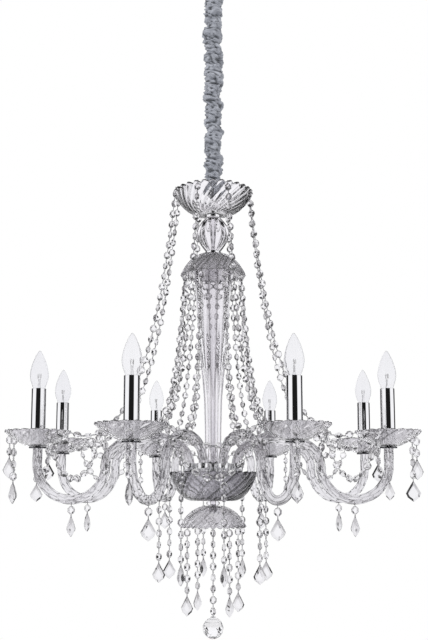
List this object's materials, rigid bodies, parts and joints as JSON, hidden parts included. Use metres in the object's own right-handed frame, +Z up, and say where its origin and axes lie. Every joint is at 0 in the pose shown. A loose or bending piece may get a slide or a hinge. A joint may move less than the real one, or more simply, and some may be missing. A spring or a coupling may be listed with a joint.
{
  "type": "crystal chandelier",
  "caption": "Hanging crystal chandelier with curved glass arms, candle bulbs in pressed glass dishes, bead strands, and a gathered fabric sleeve over its chain.",
  "frame": {"origin": "on the ceiling, in the middle of the mounting crossbar's upper face", "axes": "+Z up along the chandelier's axis, +X along the crossbar"},
  "size_m": [0.7774, 0.7774, 1.4468],
  "materials": {
    "polished_chrome": "polished",
    "cut_crystal": "polished",
    "blown_glass": "polished",
    "pressed_glass": "polished",
    "bulb_glass": "polished",
    "holder_plastic": "matte",
    "sleeve_satin": "satin"
  },
  "bodies": {
    "ceiling_plate": {"mounting_crossbar": "polished_chrome", "threaded_nipple": "polished_chrome", "ceiling_canopy": "polished_chrome", "collar_loop": "polished_chrome"},
    "first_link": {"top_link": "polished_chrome"},
    "chain": {"chain_links": "polished_chrome", "chain_sleeve": "sleeve_satin"},
    "fixture": {"crown_loop": "polished_chrome", "stem_rod": "polished_chrome", "crown_dish": "pressed_glass", "stem_collars": "polished_chrome", "glass_knop": "blown_glass", "umbrella_dish": "pressed_glass", "glass_column": "blown_glass", "arm_hub": "polished_chrome", "hub_bowl": "pressed_glass", "neck_ball": "blown_glass", "skirt_dish": "pressed_glass", "bottom_finial": "polished_chrome", "arm_cups": "polished_chrome", "lamp_holders": "holder_plastic", "crown_strands": "cut_crystal", "mid_strands": "cut_crystal", "rim_swags": "cut_crystal", "rim_drops": "cut_crystal", "lower_strings": "cut_crystal", "arm_1": "blown_glass", "bobeche_1": "pressed_glass", "candle_tube_1": "polished_chrome", "arm_2": "blown_glass", "bobeche_2": "pressed_glass", "candle_tube_2": "polished_chrome", "arm_3": "blown_glass", "bobeche_3": "pressed_glass", "candle_tube_3": "polished_chrome", "arm_4": "blown_glass", "bobeche_4": "pressed_glass", "candle_tube_4": "polished_chrome", "arm_5": "blown_glass", "bobeche_5": "pressed_glass", "candle_tube_5": "polished_chrome", "arm_6": "blown_glass", "bobeche_6": "pressed_glass", "candle_tube_6": "polished_chrome", "arm_7": "blown_glass", "bobeche_7": "pressed_glass", "candle_tube_7": "polished_chrome", "arm_8": "blown_glass", "bobeche_8": "pressed_glass", "candle_tube_8": "polished_chrome"},
    "ball_pendant": {"ball_string": "cut_crystal", "crystal_ball": "cut_crystal"},
    "bulb_1": {"bulb_1": "bulb_glass"},
    "bulb_2": {"bulb_2": "bulb_glass"},
    "bulb_3": {"bulb_3": "bulb_glass"},
    "bulb_4": {"bulb_4": "bulb_glass"},
    "bulb_5": {"bulb_5": "bulb_glass"},
    "bulb_6": {"bulb_6": "bulb_glass"},
    "bulb_7": {"bulb_7": "bulb_glass"},
    "bulb_8": {"bulb_8": "bulb_glass"}
  },
  "joints": [
    {"name": "swing_front_back", "type": "hinge", "parent": "ceiling_plate", "child": "first_link", "pos_m": [0, 0, -0.08525], "axis": [1, 0, 0], "range_deg": [-12, 12]},
    {"name": "swing_sideways", "type": "hinge", "parent": "first_link", "child": "chain", "pos_m": [0, 0, -0.11135], "axis": [0, 1, 0], "range_deg": [-12, 12]},
    {"name": "turn_on_chain", "type": "hinge", "parent": "chain", "child": "fixture", "pos_m": [0, 0, -0.57025], "axis": [0, 0, 1], "range_deg": [-15, 15]},
    {"name": "ball_swing", "type": "hinge", "parent": "fixture", "child": "ball_pendant", "pos_m": [0, 0, -1.2125], "axis": [0, 1, 0], "range_deg": [-6, 6]},
    {"name": "bulb_1_out", "type": "slide", "parent": "fixture", "child": "bulb_1", "axis": [0, 0, 1], "range_m": [0, 0.036]},
    {"name": "bulb_2_out", "type": "slide", "parent": "fixture", "child": "bulb_2", "axis": [0, 0, 1], "range_m": [0, 0.036]},
    {"name": "bulb_3_out", "type": "slide", "parent": "fixture", "child": "bulb_3", "axis": [0, 0, 1], "range_m": [0, 0.036]},
    {"name": "bulb_4_out", "type": "slide", "parent": "fixture", "child": "bulb_4", "axis": [0, 0, 1], "range_m": [0, 0.036]},
    {"name": "bulb_5_out", "type": "slide", "parent": "fixture", "child": "bulb_5", "axis": [0, 0, 1], "range_m": [0, 0.036]},
    {"name": "bulb_6_out", "type": "slide", "parent": "fixture", "child": "bulb_6", "axis": [0, 0, 1], "range_m": [0, 0.036]},
    {"name": "bulb_7_out", "type": "slide", "parent": "fixture", "child": "bulb_7", "axis": [0, 0, 1], "range_m": [0, 0.036]},
    {"name": "bulb_8_out", "type": "slide", "parent": "fixture", "child": "bulb_8", "axis": [0, 0, 1], "range_m": [0, 0.036]}
  ]
}
